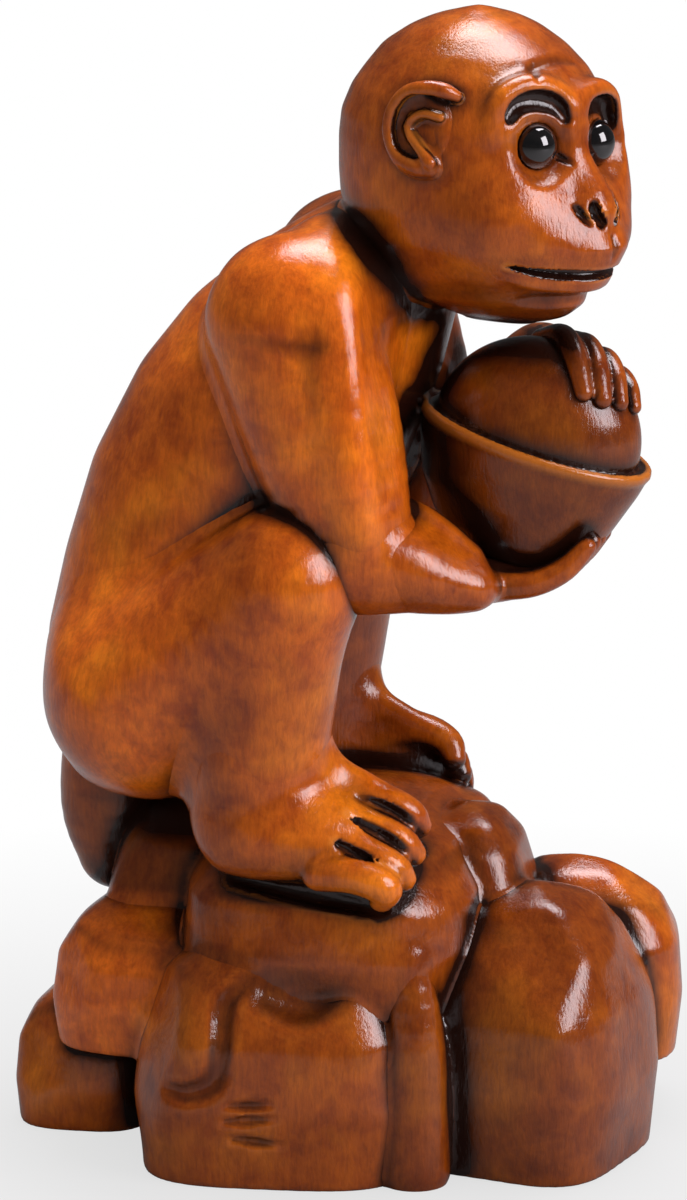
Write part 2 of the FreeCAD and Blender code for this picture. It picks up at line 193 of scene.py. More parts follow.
def soft_min(a, b, k):
    h = np.maximum(k - np.abs(a - b), 0) / k
    return np.minimum(a, b) - h * h * k / 4


def soft_max(a, b, k):
    return -soft_min(-a, -b, k)


class Clay:
    """A block of grid points that forms are added to and cut from."""

    def __init__(self, low, high, step):
        low, high = np.array(low, float), np.array(high, float)
        self.low, self.step = low, step
        counts = np.ceil((high - low) / step).astype(int) + 1
        self.axes = [(low[i] + step * np.arange(counts[i])).astype(np.float32) for i in range(3)]
        self.field = np.full(counts, FAR, np.float32)

    def window(self, form, margin):
        cut = []
        for i in range(3):
            a = int(np.searchsorted(self.axes[i], form.low[i] - margin))
            b = int(np.searchsorted(self.axes[i], form.high[i] + margin))
            if b - a < 2:
                return None
            cut.append(slice(a, b))
        X = self.axes[0][cut[0]][:, None, None]
        Y = self.axes[1][cut[1]][None, :, None]
        Z = self.axes[2][cut[2]][None, None, :]
        return tuple(cut), X, Y, Z

    def work(self, form, blend, cutting, margin):
        found = self.window(form, margin + blend)
        if found is None:
            return
        cut, X, Y, Z = found
        made = form.distance(X, Y, Z).astype(np.float32)
        old = self.field[cut]
        if cutting:
            self.field[cut] = soft_max(old, -made, blend)
        else:
            self.field[cut] = soft_min(old, made, blend)

    def follow(self, steps, margin):
        for cutting, form, blend in steps:
            self.work(form, blend, cutting, 0.6 if cutting else margin)

    def sample(self, points):
        """The field at points in space, on straight lines between grid points."""
        at = (points - self.low) / self.step
        limit = np.array(self.field.shape) - 2
        cell = np.clip(np.floor(at).astype(int), 0, limit)
        t = np.clip(at - cell, 0, 1)
        total = 0
        for i in (0, 1):
            for j in (0, 1):
                for k in (0, 1):
                    share = (t[:, 0] if i else 1 - t[:, 0]) * (t[:, 1] if j else 1 - t[:, 1])
                    share = share * (t[:, 2] if k else 1 - t[:, 2])
                    total = total + share * self.field[cell[:, 0] + i, cell[:, 1] + j, cell[:, 2] + k]
        return total


def largest(points, quads):
    """The largest joined surface alone, without crumbs cut loose beside it."""
    group = np.arange(len(points))
    starts, ends = quads.ravel(), np.roll(quads, 1, axis=1).ravel()
    while np.any(group[starts] != group[ends]):
        lower = np.minimum(group[starts], group[ends])
        np.minimum.at(group, group[starts], lower)
        np.minimum.at(group, group[ends], lower)
        group = group[group]
    keep = group == np.argmax(np.bincount(group))
    number = np.cumsum(keep) - 1
    return points[keep], number[quads[keep[quads[:, 0]]]]


def net(clay):
    """Vertices and quads of the surface where the field is zero."""
    field = clay.field
    shape = np.array(field.shape)
    cells_of, spots = [], []
    for axis in range(3):
        near = [slice(None)] * 3
        far = [slice(None)] * 3
        near[axis], far[axis] = slice(0, -1), slice(1, None)
        a, b = field[tuple(near)], field[tuple(far)]
        crossing = (a < 0) != (b < 0)
        found = np.argwhere(crossing)
        va, vb = a[crossing], b[crossing]
        spot = found.astype(float)
        spot[:, axis] += va / (va - vb)
        one, two = (axis + 1) % 3, (axis + 2) % 3
        around = []
        for d_one, d_two in ((-1, -1), (0, -1), (0, 0), (-1, 0)):
            cell = found.copy()
            cell[:, one] += d_one
            cell[:, two] += d_two
            around.append((cell[:, 0] * shape[1] + cell[:, 1]) * shape[2] + cell[:, 2])
        around = np.stack(around, 1)
        flip = va > 0
        around[flip] = around[flip][:, ::-1]
        cells_of.append(around)
        spots.append(spot)
    quads, spots = np.concatenate(cells_of), np.concatenate(spots)
    back = np.unique(quads.ravel(), return_inverse=True)[1].ravel()
    count = np.bincount(back)
    spread = np.repeat(spots, 4, axis=0)
    points = np.stack([np.bincount(back, weights=spread[:, i]) / count for i in range(3)], 1)
    return largest(points * clay.step + clay.low, back.reshape(-1, 4))


# the skeleton, from the sizes of the CAD model

world = Frame()
sides = {"right": -1, "left": 1}


def eased(rows, at, width):
    """A table's columns at a place in its first one, with the corners between its rows rounded off."""
    shares = rows[:, 0]
    grid = np.linspace(shares[0] - 3 * width, shares[-1] + 3 * width, 700)
    reach = max(int(width / (grid[1] - grid[0])), 1)
    kernel = np.hanning(2 * reach + 3)
    made = []
    for column in rows.T[1:]:
        fine = np.pad(np.interp(grid, shares, column), reach + 1, mode="edge")
        made.append(np.interp(at, grid, np.convolve(fine, kernel / kernel.sum(), mode="valid")))
    return made


# shares of the trunk's height, lean, width and depth
torso_rows = np.array([
    (0.00, -0.03, 0.02, 0.02), (0.03, -0.03, 0.24, 0.21), (0.08, -0.05, 0.41, 0.36),
    (0.17, -0.05, 0.50, 0.42), (0.28, -0.02, 0.50, 0.44), (0.41, 0.11, 0.48, 0.47),
    (0.56, 0.29, 0.47, 0.50), (0.71, 0.49, 0.46, 0.48), (0.82, 0.66, 0.41, 0.42),
    (0.91, 0.84, 0.33, 0.32), (0.97, 0.95, 0.20, 0.20), (1.00, 0.97, 0.03, 0.03),
])
# the height of the seat, where the back is, and the trunk's height, width, depth and lean
SEAT, BACK, RISE, WIDE, DEEP, LEAN = 29.0, 13.5, 55.0, 27.0, 27.2, 18.5


def torso_centre(share):
    lean = np.interp(share, torso_rows[:, 0], torso_rows[:, 1])
    return np.array([0, BACK - lean * LEAN, SEAT + share * RISE])


def torso_formula(X, Y, Z):
    share = (Z - SEAT) / RISE
    lean, wide, deep = eased(torso_rows, share, 0.03)
    across, along = wide * WIDE, deep * DEEP
    middle = BACK - lean * LEAN
    spread = np.sqrt((X / across) ** 2 + ((Y - middle) / along) ** 2)
    outside = np.maximum(np.abs(share - 0.5) - 0.5, 0) * 3
    return (spread - 1) * np.minimum(across, along) + outside * RISE


head_origin = np.array([-1.0, -12.28, 87.7])
head_turn = math.radians(25)
head_left = (math.cos(head_turn), -math.sin(head_turn), 0)
head_forward = (-math.sin(head_turn), -math.cos(head_turn), 0)
# the head's own coordinates are: towards its left, forward, up
head = Frame(head_origin, head_left, head_forward, (0, 0, 1))
HEAD_WIDTH, HEAD_LENGTH, HEAD_HEIGHT = 22.0, 24.6, 26.6
# the share of its height at which the head's origin lies
ORIGIN_SHARE = 0.538
# how far the muzzle stands out, and over what angle to each side
MUZZLE, MUZZLE_ANGLE = 4.4, 0.47

# shares of the head's height, width, length to the back and to the front, and of the muzzle
head_rows = np.array([
    (0.00, 0.04, 0.02, 0.20, 0.00), (0.04, 0.17, 0.04, 0.34, 0.10), (0.10, 0.33, 0.22, 0.42, 0.16),
    (0.19, 0.42, 0.38, 0.44, 0.56), (0.29, 0.48, 0.46, 0.44, 0.96), (0.40, 0.50, 0.49, 0.44, 0.66),
    (0.48, 0.50, 0.50, 0.44, 0.32), (0.54, 0.50, 0.50, 0.45, 0.12), (0.59, 0.50, 0.50, 0.45, 0.00),
    (0.67, 0.49, 0.49, 0.45, 0.00), (0.75, 0.46, 0.45, 0.42, 0.00), (0.81, 0.42, 0.40, 0.38, 0.00),
    (0.88, 0.35, 0.34, 0.30, 0.00), (0.94, 0.255, 0.24, 0.205, 0.00), (0.975, 0.165, 0.15, 0.125, 0.00),
    (0.99, 0.10, 0.09, 0.08, 0.00), (1.00, 0.03, 0.02, 0.02, 0.00),
])


def head_formula(X, Y, Z):
    x, f, z = head.local(X, Y, Z)
    share = z / HEAD_HEIGHT + ORIGIN_SHARE
    wide, back, front, muzzle = eased(head_rows, share, 0.025)
    a = wide * HEAD_WIDTH
    b = np.where(f > 0, front, back) * HEAD_LENGTH
    spread = np.sqrt((x / a) ** 2 + (f / b) ** 2)
    angle = np.arctan2(x / a, f / b)
    relief = muzzle * MUZZLE * np.exp(-(angle / MUZZLE_ANGLE) ** 2)
    outside = np.maximum(np.abs(share - 0.5) - 0.5, 0) * 3
    return (spread - 1) * np.minimum(a, b) - relief + outside * HEAD_HEIGHT


SHOULDER_SHARE, SHOULDER_SPREAD = 0.82, 22.0
ARM_LENGTH, ARM_OUT, ARM_FORWARD = 20.5, math.radians(5), math.radians(17.5)
HIP_SHARE, HIP_SPREAD = 0.21, 18.8
# the soles, and how far behind the right foot the left one stands
FOOT_SPREAD, HEEL_BACK, SOLE_HEIGHT, LEFT_BEHIND = 25.0, 7.4, 27.3, 2.4
SHIN_LENGTH, SHIN_LEAN, KNEE_OUT = 19.6, math.radians(8), 0.08


def shoulder(side):
    return torso_centre(SHOULDER_SHARE) + np.array([side * SHOULDER_SPREAD / 2, 0, 0])


def elbow(side):
    way = np.array([side * math.tan(ARM_OUT), -math.tan(ARM_FORWARD), -1])
    return shoulder(side) + way / np.linalg.norm(way) * ARM_LENGTH


def heel(side):
    return np.array([side * FOOT_SPREAD / 2, HEEL_BACK + (LEFT_BEHIND if side > 0 else 0), SOLE_HEIGHT])


def ankle(side):
    return heel(side) + np.array([0, -3.6, 5.0])


def knee(side):
    way = np.array([side * KNEE_OUT, -math.sin(SHIN_LEAN), math.cos(SHIN_LEAN)])
    return ankle(side) + way * SHIN_LENGTH


def hip(side):
    return torso_centre(HIP_SHARE) + np.array([side * HIP_SPREAD / 2, 0, 0])


tilt = math.radians(16.6)
ingot_forward = (0, -math.cos(tilt), -math.sin(tilt))
# the ingot's own coordinates are: aside to the left, forward, up from its rim
ingot = Frame((-1.0, -17.6, 63.4), (1, 0, 0), ingot_forward, (0, -math.sin(tilt), math.cos(tilt)))
BOWL_WIDTH, BOWL_LENGTH, BOWL_DEPTH = 15.2, 20.8, 11.5
DOME = (6.3, 9.1, 8.4)


def wrist(side):
    """Where a forearm ends. The right one is under the bowl and the left one beside the dome."""
    if side < 0:
        return ingot.world((-1.26 * BOWL_WIDTH / 2, -0.02 * BOWL_LENGTH / 2, -0.97 * BOWL_DEPTH))
    return ingot.world((1.30 * BOWL_WIDTH / 2, -0.30 * BOWL_LENGTH / 2, 0.50 * DOME[2]))


low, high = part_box("right_eye")
bead_radius = (high[2] - low[2]) / 2 / MM
# as the photograph shows them: the left one sits a little further forward and lower
bead_centres = {-1: head.world((-3.65, 9.0, 1.95)), 1: head.world((3.75, 9.4, 1.3))}


# what each solid is sculpted from

FINDER_STEP = 0.5


def torso_steps():
    return Steps().add(Shell(torso_formula, (-15, -22, 28), (15, 30, 86)))


def skin_finder(steps, low, high):
    """A function that walks from outside towards the clay and gives the place where it meets it."""
    rough = Clay(low, high, FINDER_STEP)
    rough.follow(steps, 3)

    def find(start, way):
        start, way = np.array(start, float), np.array(way, float)
        way /= np.linalg.norm(way)
        path = start + way * np.arange(0, 24, 0.05)[:, None]
        return path[int(np.argmax(rough.sample(path) < 0))]
    return find


def head_egg(place, radii):
    return Egg(head.at(place), radii)


def head_line(points, radii):
    return Tube(head, points, radii)


def skull(steps):
    """The head with its jaw, cheeks and nose. The left cheek is carved further forward than the right."""
    steps.add(Shell(head_formula, head_origin - (18, 18, 15), head_origin + 18))
    for s in (-1, 1):
        steps.add(head_egg((s * 5.0, 6.6, -4.2), (4.4, 4.6, 4.4)), 3.0)
        steps.add(head_egg((s * 3.1, 9.3, -6.0), (3.3, 3.2, 2.4)), 1.8)
    steps.add(head_egg((5.6, 7.3, -0.6), (3.2, 3.1, 4.4)), 2.0)
    bridge = [(0, 9.9, 4.6), (0, 10.1, 2.3), (0, 10.6, 0.6), (0, 11.3, -0.9), (0, 12.3, -2.4)]
    steps.add(head_line(bridge, [0.8, 0.8, 0.8, 1.1, 1.4]), 1.8)
    steps.add(head_egg((0, 12.7, -3.7), (1.9, 1.5, 1.2)), 1.2)


def brows(steps):
    """Over each eye a sharp arched brow with a dark undercut, and the socket below it."""
    crests = {
        -1: [(0, 9.8, 4.8), (-0.7, 9.8, 5.4), (-1.7, 9.6, 6.3), (-3.0, 9.2, 6.9), (-4.4, 8.7, 7.1),
             (-6.0, 8.1, 6.7), (-6.9, 7.8, 6.0), (-7.2, 7.4, 4.6), (-7.2, 7.2, 2.8)],
        1: [(0, 9.8, 4.8), (0.9, 9.9, 5.5), (2.2, 9.9, 5.8), (3.8, 9.9, 5.8), (5.4, 9.6, 5.0),
            (6.3, 9.3, 3.8), (6.6, 9.2, 1.8)],
    }
    undercuts = {
        -1: [(-1.5, 10.6, 4.2), (-2.0, 10.3, 5.1), (-3.1, 9.8, 5.7), (-4.4, 9.3, 5.9), (-5.5, 8.7, 5.6),
             (-6.2, 8.3, 4.6)],
        1: [(1.5, 10.7, 4.0), (2.3, 10.5, 4.6), (3.8, 10.2, 4.7), (5.1, 9.8, 4.0), (5.7, 9.4, 2.8)],
    }
    sockets = {-1: ((-4.7, 11.5, 2.3), (3.2, 2.9, 3.2)), 1: ((4.3, 11.8, 1.6), (3.2, 2.5, 3.2))}
    for s in (-1, 1):
        crest, undercut = crests[s], undercuts[s]
        steps.add(head_line(crest, [0.8, 0.9, 0.95, 1.0, 1.0, 0.9, 0.8, 0.7, 0.5][:len(crest)]), 1.2)
        steps.cut(head_egg(*sockets[s]), 0.8)
        steps.cut(head_line(undercut, [0.4, 0.7, 0.85, 0.85, 0.75, 0.45][:len(undercut)]), 0.45)


class Skin:
    """The skin of the head as carved so far, in the head's own coordinates."""

    def __init__(self, steps):
        placed = [(cutting, Placed(form), blend) for cutting, form, blend in steps]
        self.find = skin_finder(placed, (-20, -20, -18), (20, 24, 18))

    def front(self, x, z, sink=0.0):
        """The skin met from straight ahead."""
        spot = self.find((x, 22, z), (0, -1, 0))
        return (spot[0], spot[1] - sink, spot[2])

    def around(self, angle, z, sink=0.0):
        """The skin met from that many degrees round, at that height."""
        way = np.array([math.sin(math.radians(angle)), math.cos(math.radians(angle)), 0])
        spot = self.find(np.array([0, 2.0, z]) + way * 20, -way)
        return tuple(spot - way * sink)


def mouth(steps, skin):
    """The lower lip, the slit over it and the hollow below it."""
    turns = np.linspace(-1, 1, 11)
    slit = [skin.around(t * 46, -8.7 + 1.2 * t * t, 0.45) for t in turns]
    lip = [skin.around(t * 43, -9.8 + 0.9 * t * t, 0.9 - 0.5 * abs(t)) for t in turns]
    hollow = [skin.around(t * 34, -11.3, -0.1) for t in turns]
    lip_radii = [0.3] + [0.6] * 9 + [0.3]
    steps.add(head_line(lip, lip_radii), 0.6)
    steps.cut(head_line(slit, [0.25, 0.42] + [0.55] * 7 + [0.42, 0.25]), 0.2)
    steps.cut(head_line(hollow, lip_radii), 1.0)


# places on the skin: how far aside and up, and how deep below it; the duct's are measured from its eye
NOSTRIL = ((1.4, -2.8, 0.1), (1.2, -3.6, 0.6), (0.9, -4.4, 0.2))
NOSE_SLIT = ((2.7, -2.8, 0), (2.4, -3.6, 0.3), (2.0, -4.3, 0))
TEAR_DUCT = ((2.1, 1.5, 0.05), (1.6, 1.0, 0.1))


def nose(steps, skin):
    """Nostrils, the slits behind them, and the hollow under the nose."""
    for s in (-1, 1):
        nostril = [skin.front(s * x, z, sink) for x, z, sink in NOSTRIL]
        slit = [skin.front(s * x, z, sink) for x, z, sink in NOSE_SLIT]
        steps.cut(head_line(nostril, [0.36, 0.6, 0.45]), 0.12)
        steps.cut(head_line(slit, [0.24, 0.36, 0.26]), 0.1)
    steps.cut(head_line([skin.front(0, z) for z in (-5.6, -6.5, -7.4)], [0.2, 0.36, 0.2]), 0.4)


def eye_seat(steps, skin, s):
    """The seat of a bead, with lids round it and the notch of the tear duct."""
    eye = head_local(bead_centres[s])
    ring = []
    for i in range(17):
        t = math.radians(360 * i / 16)
        spot = skin.front(eye[0] + 2.1 * math.cos(t), eye[2] + 2.15 * math.sin(t), 0.1)
        outer = 0.5 - 0.5 * s * math.cos(t)
        ring.append((spot[0], min(spot[1], eye[1] - 0.7 + 1.0 * outer), spot[2]))
    steps.cut(head_egg((eye[0], eye[1] + 1.2, eye[2]), (1.8, 2.4, 1.9)), 0.2)
    steps.add(head_line(ring, [0.38] * 17), 0.5)
    steps.cut(head_egg(eye, (bead_radius + 0.04,) * 3), 0.05)
    duct = [skin.front(eye[0] - s * x, eye[2] - z, sink) for x, z, sink in TEAR_DUCT]
    steps.cut(head_line(duct, [0.16, 0.3]), 0.2)


def head_steps():
    steps = Steps()
    skull(steps)
    brows(steps)
    skin = Skin(steps)
    mouth(steps, skin)
    nose(steps, skin)
    for s in (-1, 1):
        eye_seat(steps, skin, s)
    # a faint fold on the forehead
    fold = [skin.front(x, 8.6 - 0.05 * x * x, -0.16) for x in np.linspace(-4, 3, 7)]
    steps.cut(head_line(fold, [0.14, 0.22, 0.24, 0.24, 0.24, 0.22, 0.14]), 0.6)
    return steps


class Placed:
    """A form of the head as the head's own frame sees it."""

    def __init__(self, form):
        corners = np.array([head_local([x, y, z]) for x in (form.low[0], form.high[0])
                            for y in (form.low[1], form.high[1]) for z in (form.low[2], form.high[2])])
        self.form, self.low, self.high = form, corners.min(0), corners.max(0)

    def distance(self, X, Y, Z):
        a, o = head.axes, head.origin
        spots = [o[i] + X * a[0, i] + Y * a[1, i] + Z * a[2, i] for i in range(3)]
        if isinstance(self.form, Shell):
            return by_slope(self.form.formula(*spots), FINDER_STEP)
        return self.form.distance(*spots)


def head_local(point):
    return (np.array(point, float) - head.origin) @ head.axes.T


def ear_steps(side):
    """A rim curled like a C, a fold inside it shaped like a Y, and the hole in front."""
    steps = Steps()
    back, down = (0, 0) if side < 0 else (1.6, 1.4)

    def egg(x, f, z, radii, **turns):
        return Egg(head.at((side * x, f - back, z - down), **turns), radii)

    def line(out, points, radii):
        return Tube(head, [(side * x, f - back, z - down) for x, (f, z) in zip(out, points)], radii)

    steps.add(egg(9.9, 1.7, 3.3, (1.2, 3.0, 3.7), yaw=side * 14))
    steps.cut(egg(11.3, 2.4, 3.4, (1.3, 2.6, 3.0), yaw=side * 14), 0.4)
    rim = [(5.0, 6.4), (4.3, 6.9), (3.0, 7.1), (1.4, 6.7), (0.2, 5.4), (-0.3, 3.7), (0.0, 2.1), (0.9, 1.0),
           (2.2, 0.5), (3.4, 0.4)]
    out = [9.0, 9.9, 10.7, 11.2, 11.5, 11.6, 11.5, 11.3, 11.0, 10.5]
    steps.add(line(out, rim, [0.5, 0.7, 0.66, 0.55, 0.5, 0.5, 0.55, 0.7, 0.9, 0.8]), 0.4)
    fold = [(3.7, 0.9), (2.9, 1.9), (1.8, 2.8), (1.3, 3.6), (1.7, 4.4)]
    steps.add(line([11.0, 11.1, 11.0, 10.9, 10.7], fold, [0.6, 0.5, 0.45, 0.42, 0.4]), 0.3)
    steps.add(line([10.8, 10.6, 10.2], [(1.6, 4.4), (2.8, 4.9), (4.2, 4.7)], [0.42, 0.42, 0.4]), 0.3)
    steps.cut(line([11.0, 10.8, 10.5], [(2.9, 3.8), (3.4, 3.0), (4.2, 2.0)], [0.7, 0.8, 0.5]), 0.25)
    steps.cut(line([10.7, 11.1, 11.2], [(3.6, 6.0), (2.0, 5.8), (1.0, 4.9)], [0.5, 0.65, 0.5]), 0.25)
    steps.cut(line([11.3, 11.2, 11.0], [(0.7, 3.2), (1.1, 2.2), (2.3, 1.4)], [0.45, 0.6, 0.4]), 0.25)
    return steps


def limb(points, radii, flat=(1, 1, 1), steps=6):
    return Tube(world, points, radii, flat, steps)


def mirrored(points, side):
    return [(side * x, y, z) for x, y, z in points]


def upper_arm_steps(side):
    top, low = shoulder(side), elbow(side)
    crest = [(6.6, -0.4, 80.2), (11.6, -2.4, 78.6), (14.2, -3.4, 75.6), (15.2, -4.1, 71.6),
             (15.9, -4.7, 67.4), (16.4, -5.4, 62.4), (16.2, -6.0, 57.4)]
    hollow = [(13.9, -6.6, 76.0), (15.2, -7.6, 71.6), (16.0, -8.4, 66.6), (16.3, -9.2, 61.6)]
    steps = Steps().add(limb([top, (top + low) / 2, low], [7.4, 6.7, 4.9], flat=(0.86, 1, 1)))
    steps.add(limb(mirrored(crest, side), [0.8, 1.3, 1.5, 1.5, 1.4, 1.3, 1.0], steps=4), 2.6)
    steps.cut(limb(mirrored(hollow, side), [0.6, 0.9, 0.9, 0.6], steps=5), 1.2)
    return steps


def forearm_steps(side):
    start, end = elbow(side), wrist(side)
    if side > 0:
        return Steps().add(limb([start, (start + end) / 2, end], [3.9, 3.9, 2.6], steps=5))
    sag = np.array([0, 0, -0.8])
    path = [start, start * 0.62 + end * 0.38 + sag / 2, start * 0.3 + end * 0.7 + sag, end + sag]
    return Steps().add(limb(path, [4.1, 3.7, 2.5, 1.5], steps=5))


def cupping_hand():
    """The right hand, which cups the bowl from below."""
    palm = [(-10.4, -7.4, -10.6), (-9.4, -4.0, -11.6), (-7.4, -1.8, -12.2), (-4.8, 0.6, -12.2),
            (-3.0, 3.0, -11.6)]
    steps = Steps().add(Tube(ingot, palm, [2.4, 2.4, 2.5, 2.2, 1.7], flat=(1.2, 1.2, 0.8)))
    for i in range(4):
        x = -6.0 + 1.95 * i
        finger = [(x + 0.2, 1.4, -12.2), (x + 0.5, 4.4, -10.9), (x + 0.9, 6.5, -8.9), (x + 1.2, 7.7, -6.5)]
        steps.add(Tube(ingot, finger, [1.35, 1.2, 1.1, 0.85]), 0.25)
    thumb = [(-7.8, -1.6, -10.2), (-8.1, -3.9, -8.7), (-8.3, -6.5, -7.8), (-8.3, -9.2, -7.8)]
    steps.add(Tube(ingot, thumb, [1.6, 1.2, 1.0, 0.8]), 1.2)
    return steps


def on_dome(x, f, lift):
    """A place that far above the dome, in the ingot's own coordinates."""
    height = DOME[2] * math.sqrt(max(1 - (x / DOME[0]) ** 2 - (f / DOME[1]) ** 2, 0.0))
    return (x, f, max(height, 0.4) + lift)


def laid_hand():
    """The left hand, which is laid over the dome."""
    palm = [(9.6, -2.8, 4.0), (7.0, -1.4, 5.2), on_dome(4.2, -0.2, 0.2), on_dome(2.2, 0.6, 0.1)]
    fingers = [[(3.4, -2.4), (0.4, -0.4), (-2.2, 1.6), (-4.0, 3.4)],
               [(3.8, -0.3), (1.0, 1.6), (-1.6, 3.4), (-3.3, 5.0)],
               [(4.1, 1.7), (1.7, 3.4), (-0.6, 5.0), (-2.1, 6.3)],
               [(4.3, 3.4), (2.4, 4.9), (0.6, 6.3), (-0.5, 7.3)]]
    steps = Steps().add(Tube(ingot, palm, [2.2, 2.1, 1.9, 1.5], flat=(1, 1.4, 0.8)))
    for row, radius in zip(fingers, (1.15, 1.15, 1.05, 0.95)):
        finger = [on_dome(x, f, 0.3) for x, f in row]
        steps.add(Tube(ingot, finger, [radius, radius, radius * 0.95, radius * 0.75]), 0.2)
    return steps


def thigh_steps(side):
    start, end = hip(side), knee(side)
    return Steps().add(limb([start, (start + end) / 2, end + (0, 0, 0.8)], [9.2, 8.2, 6.4]))


def shin_steps(side):
    bend, end = knee(side), ankle(side)
    middle = bend + (end - bend) * 0.55 + (0, 0.6, 0)
    return Steps().add(limb([bend, middle, end + (0, 0.5, 0.5)], [5.4, 6.0, 5.8]))


def foot_steps(side):
    roll, out = math.radians(31), math.radians(4)
    across = np.array([side * math.cos(roll), 0, -math.sin(roll)])
    up = np.array([side * math.sin(roll), 0, math.cos(roll)])
    along = np.array([side * math.sin(out), -math.cos(out), 0])
    place = Frame(heel(side), across, along, up)
    body = [(0.2, 2.6, 3.4), (-0.2, 5.4, 3.7), (-0.5, 8.9, 3.6), (-0.3, 12.4, 2.9), (0.3, 15.0, 2.4)]
    steps = Steps().add(Tube(place, body, [3.1, 3.9, 3.9, 3.0, 2.0], flat=(1.25, 1, 1), steps=5))
    bridge = [(-2.6, 3.0, 9.0), (-4.2, 6.0, 8.2), (-4.9, 9.0, 6.8), (-4.6, 12.4, 5.3), (-3.9, 15.4, 4.1)]
    steps.add(Tube(place, bridge, [2.6, 1.8, 1.3, 1.1, 0.9]), 2.2)
    tips = [(-3.2, 18.2, 3.0), (-0.4, 18.4, 2.4), (2.2, 18.2, 2.0), (4.5, 17.0, 1.8)]
    for i, (x, reach, height) in enumerate(tips):
        root = (-3.7 + 2.5 * i, 10.5, 4.0 - 0.35 * i)
        middle = (x * 0.5 + root[0] * 0.5, 13.8, height + 1.5)
        points = [root, middle, (x, 16.2, height + 0.6), (x, reach - 1.2, height - 0.8)]
        steps.add(Tube(place, points, [1.6, 1.6, 1.5, 1.15], steps=4), 0.5)
    grooves = [[(-2.4, 12.6, 6.0), (-2.2, 14.8, 5.2), (-1.9, 17.2, 3.8)],
               [(-0.2, 12.0, 5.8), (0.4, 14.6, 4.9), (0.9, 17.4, 3.2)],
               [(2.2, 11.6, 5.2), (2.9, 14.0, 4.3), (3.4, 16.6, 2.6)]]
    for points in grooves:
        steps.cut(Tube(place, points, [0.2, 0.42, 0.3]), 0.4)
    return steps


TAIL_LENGTH, TAIL_RADIUS = 15.5, 4.5


def tail_steps():
    root = torso_centre(0.12) + np.array([0, 6.0, 0])
    rows = [(0, 0, 1), (0.03, 0.48, 1), (0, 0.78, 0.78)]
    path = [root + np.array([0, back, -down]) * TAIL_LENGTH for back, down, _ in rows]
    return Steps().add(Tube(world, path, [TAIL_RADIUS * share for _, _, share in rows]))


def ingot_steps():
    # shares of the bowl's depth, length and width, and how far forward it lies there
    rows = np.array([(-1.0, 0.20, 0.22, 0.5), (-0.9, 0.28, 0.30, 0.4), (-0.75, 0.35, 0.37, 0.2),
                     (-0.5, 0.42, 0.43, 0), (-0.2, 0.475, 0.48, 0), (0, 0.5, 0.5, 0)])

    def bowl(X, Y, Z):
        x, f, u = ingot.local(X, Y, Z)
        share = u / BOWL_DEPTH
        length, width, shift = eased(rows, share, 0.06)
        across, along = width * BOWL_WIDTH, length * BOWL_LENGTH
        wall = (np.sqrt((x / across) ** 2 + ((f - shift * 2.2) / along) ** 2) - 1) * across
        return soft_max(soft_max(wall, u, 0.5), -BOWL_DEPTH - u, 1.6)

    origin = ingot.origin
    steps = Steps().add(Shell(bowl, origin - 16, origin + 16))
    turns = np.linspace(0, 2 * math.pi, 25)
    rim = [(7.2 * math.sin(t), 9.95 * math.cos(t), -0.35) for t in turns]
    steps.add(Tube(ingot, rim, [0.5] * 25, steps=3), 0.3)
    steps.cut(Egg(ingot, (6.9, 9.7, 0.8)), 0.3)
    steps.add(Egg(ingot, DOME), 0.25)
    return steps


BASE_WIDTH, BASE_LENGTH, ROCK_HEIGHT = 42, 57, 22
# middle across and along, half width and half length, foot and top as shares, and the turn in degrees
rock_shares = {
    "right_boulder": (-0.25, 0.045, 0.25, 0.22, 0.0, 1.0, 8),
    "front_boulder": (-0.07, -0.32, 0.26, 0.165, 0.0, 1.10, -10),
    "left_boulder": (0.245, 0.03, 0.25, 0.215, 0.0, 0.92, -8),
    "front_left_boulder": (0.27, -0.34, 0.20, 0.15, 0.26, 1.06, 16),
    "rear_low_boulder": (-0.02, 0.385, 0.21, 0.115, 0.0, 0.57, 0),
    "rear_left_boulder": (0.24, 0.28, 0.20, 0.17, 0.0, 0.80, 20),
    "rear_boulder": (-0.10, 0.255, 0.25, 0.155, 0.40, 1.02, -6),
    "ledge_rock": (0.0, -0.02, 0.42, 0.235, 0.66, 1.42, 0),
    "toe_rock": (0.03, -0.20, 0.19, 0.10, 0.60, 1.36, 6),
    "seat_rock": (0.03, 0.235, 0.26, 0.122, 0.50, 1.37, 0),
}
# shares of a boulder's height and size
boulder_rows = np.array([(0.0, 0.93), (0.30, 1.0), (0.58, 0.96), (0.80, 0.78), (0.94, 0.48), (1.0, 0.08)])


def facet(through, azimuth, steep):
    """A flat cut: the point it passes through, the way it faces in degrees and how steeply it faces up."""
    a, e = math.radians(azimuth), math.radians(steep)
    way = [math.cos(a) * math.cos(e), math.sin(a) * math.cos(e), math.sin(e)]
    return np.array(through, float), np.array(way)


